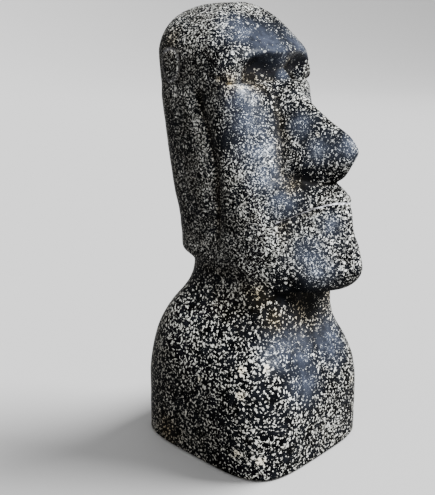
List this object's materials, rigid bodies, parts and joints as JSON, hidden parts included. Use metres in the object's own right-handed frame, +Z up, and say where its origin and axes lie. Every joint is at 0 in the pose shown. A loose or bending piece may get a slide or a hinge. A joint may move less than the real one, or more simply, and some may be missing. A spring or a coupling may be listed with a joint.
{
  "type": "moai statue",
  "caption": "Carved wooden moai: long head with heavy brow, straight nose and jutting chin on a short neck and squared torso, one block on a flat underside.",
  "frame": {"origin": "centre of the flat underside that the statue stands on", "axes": "+Z up, the face looks towards -Y, +X towards the figure's left"},
  "size_m": [0.123, 0.1501, 0.3],
  "materials": {
    "painted_wood": "black semi-gloss paint with dense cream flecks, on carved wood"
  },
  "bodies": {
    "root": {"moai_statue": "painted_wood"}
  },
  "joints": []
}
